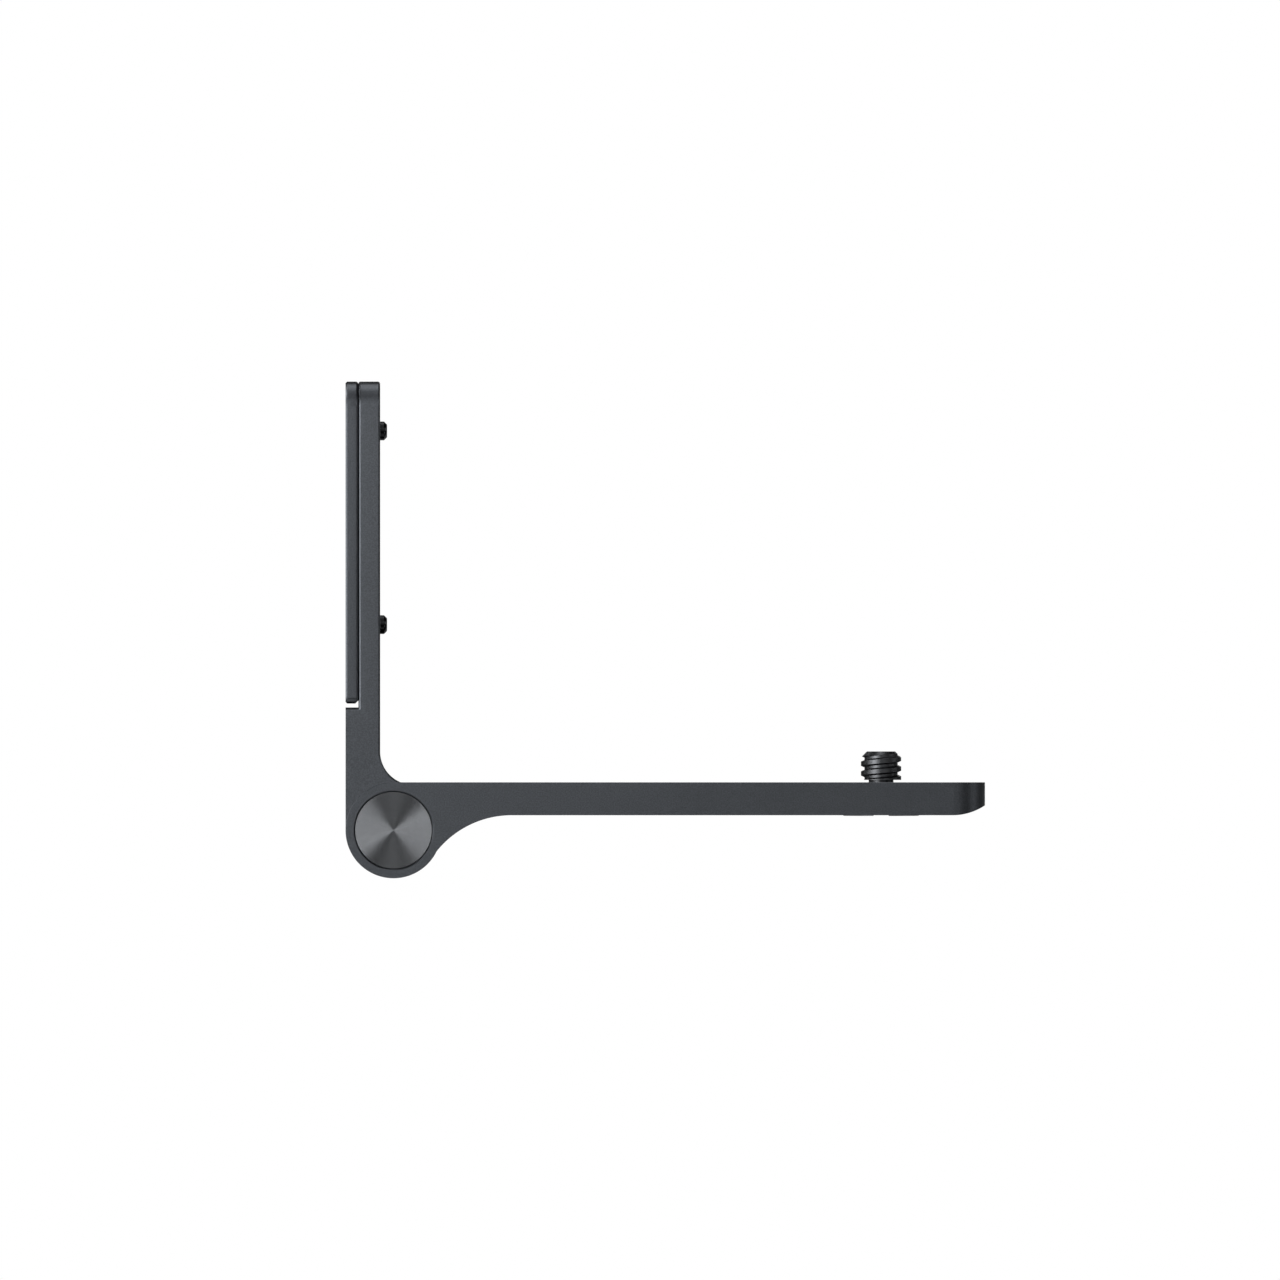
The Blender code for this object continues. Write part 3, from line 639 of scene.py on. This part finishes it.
# Swing arm
# The long bar with the two outer knuckles, milled from one piece with a hollow curve under its root.
# Its tip is rounded in plan and from below, and a countersunk hole takes the camera screw.
stud = Vector(joints["camera_screw_turn"]["pos_m"])
arm_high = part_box("swing_arm")[1]
arm_half = arm_high.y
arm_thickness = 0.00523
throat_radius = 0.01528
throat_corner_degrees = -26.1
tip_round = 0.0092
tip_round_length = 0.00513
tip_corner = 0.0051
knuckle_inner = 0.006
swing_gap = 0.0003
cap_recess_radius = 0.00625
cap_recess_depth = 0.0015
rim_break = 0.0001
bolt_hole = 0.0026
washer_pocket = 0.0049
head_web = 0.0105
nut_web = 0.0076
screw_minor = 0.00258
screw_mouth = 0.003275
screw_head_room = 0.0061
screw_head_pocket = 0.00275

arm_top = hinge.z + knuckle_radius
arm_under = arm_top - arm_thickness
reach_x = arm_high.x
corner_angle = math.radians(throat_corner_degrees)
corner_x = hinge.x + knuckle_radius * math.cos(corner_angle)
corner_z = hinge.z + knuckle_radius * math.sin(corner_angle)
throat_z = arm_under - throat_radius
throat_x = corner_x + math.sqrt(throat_radius**2 - (corner_z - throat_z) ** 2)
throat_degrees = math.degrees(math.atan2(corner_z - throat_z, corner_x - throat_x))
tip_x = reach_x - tip_round_length
tip_degrees = math.degrees(math.asin((tip_round_length + overrun) / tip_round))
tip_end = (reach_x + overrun, arm_under + tip_round * (1 - math.cos(math.radians(tip_degrees))))

arm = first_wall("swing_arm_machined", (reach_x + overrun, arm_top), (hinge.x, arm_top), arm_half + overrun)
curl((hinge.x, hinge.z), 270 + throat_corner_degrees)
curl((throat_x, throat_z), 90 - throat_degrees)
run((throat_x, arm_under), (tip_x, arm_under))
curl((tip_x, arm_under + tip_round), tip_degrees)
run(tip_end, (reach_x + overrun, arm_top))
close_outline()
plan = add_block(
    "plan", (-overrun, -arm_half, hinge.z - knuckle_radius * 2), (reach_x, arm_half, arm_top + overrun)
)
open_with_edges(plan, lambda a, b: close(a.x, reach_x) and close(b.x, reach_x) and close(a.y, b.y))
bpy.ops.mesh.bevel(offset=tip_corner, segments=32, affect="EDGES")
bpy.ops.object.mode_set(mode="OBJECT")
machine(arm, plan, "INTERSECT")
break_edges(arm, knuckle_edge, segments=1)

recess_floor = arm_half - cap_recess_depth
barrel_bore = [
    (0, -arm_half - overrun),
    (cap_recess_radius + rim_break + overrun, -arm_half - overrun),
    (cap_recess_radius, rim_break - arm_half),
    (cap_recess_radius, -recess_floor),
    (washer_pocket, -recess_floor),
    (washer_pocket, -head_web),
    (bolt_hole, -head_web),
    (bolt_hole, -knuckle_inner),
    (knuckle_radius + swing_gap, -knuckle_inner),
    (knuckle_radius + swing_gap, knuckle_inner),
    (bolt_hole, knuckle_inner),
    (bolt_hole, nut_web),
    (washer_pocket, nut_web),
    (washer_pocket, recess_floor),
    (cap_recess_radius, recess_floor),
    (cap_recess_radius, arm_half - rim_break),
    (cap_recess_radius + rim_break + overrun, arm_half + overrun),
    (0, arm_half + overrun),
]
machine(arm, turn("barrel_bore", barrel_bore, steps=192, centre=hinge, axis=(0, 1, 0)))
screw_hole = [
    (0, overrun),
    (screw_mouth + overrun, overrun),
    (screw_minor, screw_minor - screw_mouth),
    (screw_minor, screw_head_pocket - arm_thickness),
    (screw_head_room, screw_head_pocket - arm_thickness),
    (screw_head_room, -arm_thickness - overrun),
    (0, -arm_thickness - overrun),
]
machine(arm, turn("screw_hole", screw_hole, steps=96, centre=(stud.x, 0, arm_top), axis=(0, 0, 1)))
shade(arm)
dress(arm, anodised, "arm", ["swing_arm"])

# Hinge caps
# Two thin aluminium discs, faced in fine rings on a lathe and anodised, so that light fans out on them.
# Each is glued into the recess in its knuckle, just below the side face.
ring_pitch = 0.00013
ring_depth = 0.00002
points_per_ring = 6
cap_edge = 0.00007
cap_dark = (0.094, 0.097, 0.102, 1)
cap_light = (0.106, 0.11, 0.116, 1)

turned_cap, nodes, shader = new_material("turned_aluminium", metallic=1.0, roughness=0.25)
place = add_node(nodes, "ShaderNodeTexCoord").outputs["Object"]
about_hinge = add_node(
    nodes, "ShaderNodeMapping", {"vector_type": "TEXTURE"}, Vector=place, Location=hinge,
    Rotation=(math.radians(90), 0, 0),
)
lathe = use_group(nodes, rings, Rings_per_metre=5000)
nodes.links.new(about_hinge.outputs[0], lathe.inputs["From axis"])
tint = mix_colours(nodes, lathe.outputs["Fleck"], cap_dark, cap_light)
nodes.links.new(tint, shader.inputs["Base Color"])
sheen = add_node(nodes, "ShaderNodeMapRange", Value=lathe.outputs["Fleck"], To_Min=0.22, To_Max=0.28)
nodes.links.new(sheen.outputs[0], shader.inputs["Roughness"])
bump = add_node(nodes, "ShaderNodeBump", Height=lathe.outputs["Height"], Strength=0.1, Distance=0.000005)
nodes.links.new(bump.outputs[0], shader.inputs["Normal"])

for name, side in (("near", -1), ("far", 1)):
    low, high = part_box(f"hinge_cap_{name}")
    thickness = high.y - low.y
    cap_radius = (high.x - low.x) / 2
    face = low.y if side < 0 else high.y
    face_radius = cap_radius - cap_edge
    profile = [(0, 0)]
    for step in range(1, round(face_radius / ring_pitch * points_per_ring)):
        far = step * ring_pitch / points_per_ring
        profile.append((far, -ring_depth / 2 * (1 - math.cos(far / ring_pitch * math.tau))))
    profile += [(face_radius, 0), (cap_radius, -cap_edge), (cap_radius, -thickness), (0, -thickness)]
    middle = (hinge.x, face, hinge.z)
    cap = turn(f"hinge_cap_{name}_turned", profile, steps=192, centre=middle, axis=(0, side, 0))
    shade(cap, from_degrees=50)
    dress(cap, turned_cap, "arm", [f"hinge_cap_{name}"])

# Camera screw
# A captive screw with the camera thread, turned from steel and blackened, its head let into the arm.
# Its thin neck turns freely in the arm's thread, and a coin fits the slot in its head.
screw_low, screw_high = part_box("camera_screw")
stud_radius = 0.0032
root_radius = 0.00264
stud_chamfer = 0.00095
neck_radius = 0.00197
neck_showing = 0.00038
head_radius = 0.006
head_thickness = 0.0026
head_rim = 0.0006
head_rim_rise = 0.00004
head_dome_rise = 0.00002
slot_width = 0.0024
slot_depth = 0.0014
thread_pitch = 0.001546
groove_width = 0.0009
root_width = 0.00038
groove_height = 0.00141
groove_turns = 4
# Odd counts, so that no facet of the body lies on one of the groove
body_steps = 127
groove_steps = 97

satin_black = blackened("satin_black_steel", dark=0.078, light=0.09, smooth=0.33, dull=0.38)

head_top = screw_low.z + head_thickness - stud.z
head_bottom = screw_low.z - stud.z
stud_top = screw_high.z - stud.z
profile = [
    (0, stud_top),
    (stud_radius - stud_chamfer, stud_top),
    (stud_radius, stud_top - stud_chamfer),
    (stud_radius, neck_showing),
    (neck_radius, neck_showing),
    (neck_radius, head_top),
    (head_radius, head_top),
    (head_radius, head_bottom + head_rim_rise),
    (head_radius - head_rim, head_bottom + head_dome_rise),
    (head_radius / 2, head_bottom),
    (0, head_bottom),
]
screw = turn("camera_screw_threaded", profile, steps=body_steps, centre=stud, axis=(0, 0, 1))

# The groove's section, narrow at the root and wide past the crest, wound up the stud as a screw
groove_x = stud.x + root_radius
groove_z = stud.z + groove_height - thread_pitch
groove_mouth_x = stud.x + stud_radius + overrun
groove_beyond = stud_radius + overrun - root_radius
bpy.ops.object.select_all(action="DESELECT")
bpy.ops.mesh.primitive_plane_add(
    size=1, location=(groove_x + groove_beyond / 2, 0, groove_z), rotation=(math.radians(90), 0, 0)
)
groove = bpy.context.active_object
groove.scale = (groove_beyond, groove_width, 1)
bpy.ops.object.transform_apply(location=True, rotation=True, scale=True)
open_with_edges(groove, lambda a, b: close(a.x, groove_x) and close(b.x, groove_x))
bpy.ops.transform.resize(value=(1, 1, root_width / groove_width), center_override=(groove_x, 0, groove_z))
bpy.ops.object.mode_set(mode="OBJECT")
open_with_edges(groove, lambda a, b: close(a.x, groove_mouth_x) and close(b.x, groove_mouth_x))
widening = 1 + (groove_width - root_width) * overrun / (stud_radius - root_radius) / groove_width
bpy.ops.transform.resize(value=(1, 1, widening), center_override=(groove_x, 0, groove_z))
bpy.ops.mesh.select_all(action="SELECT")
bpy.ops.mesh.delete(type="ONLY_FACE")
bpy.ops.object.mode_set(mode="OBJECT")
bpy.context.scene.cursor.location = stud
bpy.ops.object.origin_set(type="ORIGIN_CURSOR")
apply(
    groove,
    "SCREW",
    axis="Z",
    angle=math.tau,
    screw_offset=thread_pitch,
    iterations=groove_turns,
    steps=groove_steps,
    render_steps=groove_steps,
    use_merge_vertices=True,
    merge_threshold=merge_distance,
)
bpy.ops.object.mode_set(mode="EDIT")
bpy.ops.mesh.select_all(action="SELECT")
bpy.ops.mesh.fill_holes(sides=0)
tidy_mesh()
bpy.ops.object.mode_set(mode="OBJECT")
machine(screw, groove)
machine(
    screw,
    add_block(
        "coin_slot",
        (stud.x - slot_width / 2, -head_radius - overrun, screw_low.z - overrun),
        (stud.x + slot_width / 2, head_radius + overrun, screw_low.z + slot_depth),
    ),
)
shade(screw)
dress(screw, satin_black, "camera_screw", ["camera_screw"])

# Studio
# A pale floor well below the bracket, with soft boxes all round it.
# The camera stands square to the bracket's side and sees it without perspective.
bracket_middle = (cad_box[0] + cad_box[1]) / 2
floor_size = 6
floor_height = -0.6
floor_grey = (0.8, 0.8, 0.8, 1)
floor_glow = (0.85, 0.85, 0.85, 1)
backdrop_white = (1, 1, 1, 1)
room_grey = (0.06, 0.06, 0.06, 1)

bpy.ops.object.select_all(action="DESELECT")
bpy.ops.mesh.primitive_plane_add(size=floor_size, location=(bracket_middle.x, 0, floor_height))
floor = bpy.context.active_object
floor.name = "studio_floor"
floor_paint, nodes, shader = new_material("floor_paint", metallic=0.0, roughness=0.8)
shader.inputs["Base Color"].default_value = floor_grey
shader.inputs["Emission Color"].default_value = floor_glow
seen_straight = add_node(nodes, "ShaderNodeLightPath").outputs["Is Camera Ray"]
nodes.links.new(seen_straight, shader.inputs["Emission Strength"])
floor.data.materials.append(floor_paint)


def softbox(name, azimuth, elevation, distance, width, height, power):
    """An area light that faces the bracket; azimuth 0 is the camera's side and 90 is past the tip."""
    round_by = math.radians(azimuth)
    up_by = math.radians(elevation)
    away = Vector(
        (math.sin(round_by) * math.cos(up_by), -math.cos(round_by) * math.cos(up_by), math.sin(up_by))
    )
    light = bpy.data.lights.new(name, "AREA")
    light.shape = "RECTANGLE"
    light.size = width
    light.size_y = height
    light.energy = power
    holder = bpy.data.objects.new(name, light)
    holder.location = bracket_middle + away * distance
    holder.rotation_euler = away.to_track_quat("Z", "Y").to_euler()
    holder.visible_camera = False
    bpy.context.scene.collection.objects.link(holder)


# Broad and from the left, these light the side face and the edges that turn to the wall
softbox("key_left", -40, 2, 0.9, 0.5, 0.9, 8.0)
softbox("left_side", -88, 4, 0.5, 0.25, 0.25, 0.41)
softbox("left_wide", -75, 0, 0.9, 0.5, 0.3, 0.87)
softbox("left_low", -100, -10, 0.7, 0.3, 0.3, 0.42)
softbox("left_high", -97, 34, 0.7, 0.3, 0.3, 1.1)
# These light the arm's tip and the fronts of the leaf and the screws
softbox("right_side", 92, 14, 0.9, 0.3, 0.3, 0.5)
softbox("right_low", 75, -14, 0.9, 0.3, 0.3, 0.42)
# These light the tops of the leaf, the arm and the stud
softbox("overhead", 180, 78, 0.9, 0.3, 0.6, 1.1)
softbox("overhead_front", 0, 70, 0.9, 0.3, 0.5, 0.42)
# Small ones near the camera, which fan out on the turned caps and even out the side face
softbox("front_fill", -15, 5, 0.9, 0.3, 0.4, 0.63)
softbox("front_top", 0, 30, 0.9, 0.22, 0.22, 0.24)
softbox("front_high", 0, 46, 0.9, 0.22, 0.22, 0.14)
softbox("front_right", 30, 16, 0.9, 0.26, 0.26, 0.48)
softbox("front_low_right", 15, 0, 0.9, 0.26, 0.26, 0.13)
softbox("near_top", -11, 14, 0.3, 0.12, 0.12, 0.025)
# Faint ones behind, below and past the tip, for the sides that the camera doesn't see
softbox("behind", 175, 0, 1.0, 0.5, 0.6, 1.0)
softbox("far_low", 135, -15, 0.9, 0.4, 0.4, 0.1)
softbox("far_high", -120, 30, 0.9, 0.5, 0.5, 1.0)
softbox("right_under", 120, -30, 0.7, 0.4, 0.4, 0.3)
softbox("right_front", 45, 22, 0.9, 0.35, 0.35, 0.3)

# The room is white behind the bracket and dim in its reflections
world = bpy.data.worlds.new("studio")
world.use_nodes = True
room = world.node_tree
room.nodes.clear()
backdrop = add_node(room, "ShaderNodeBackground", Color=backdrop_white)
around = add_node(room, "ShaderNodeBackground", Color=room_grey)
seen_by = add_node(room, "ShaderNodeLightPath")
choose = add_node(
    room, "ShaderNodeMixShader", _0=seen_by.outputs["Is Camera Ray"], _1=around.outputs[0],
    _2=backdrop.outputs[0],
)
add_node(room, "ShaderNodeOutputWorld", Surface=choose.outputs[0])
bpy.context.scene.world = world
bpy.context.scene.view_settings.view_transform = "Standard"

frame_width = 0.2032
camera_place = (0.04675, -0.4, -0.01547)
camera = bpy.data.cameras.new("side_camera")
camera.type = "ORTHO"
camera.ortho_scale = frame_width
camera.clip_start = 0.001
camera_holder = bpy.data.objects.new("side_camera", camera)
camera_holder.location = camera_place
camera_holder.rotation_euler = (math.radians(90), 0, 0)
bpy.context.scene.collection.objects.link(camera_holder)
bpy.context.scene.camera = camera_holder
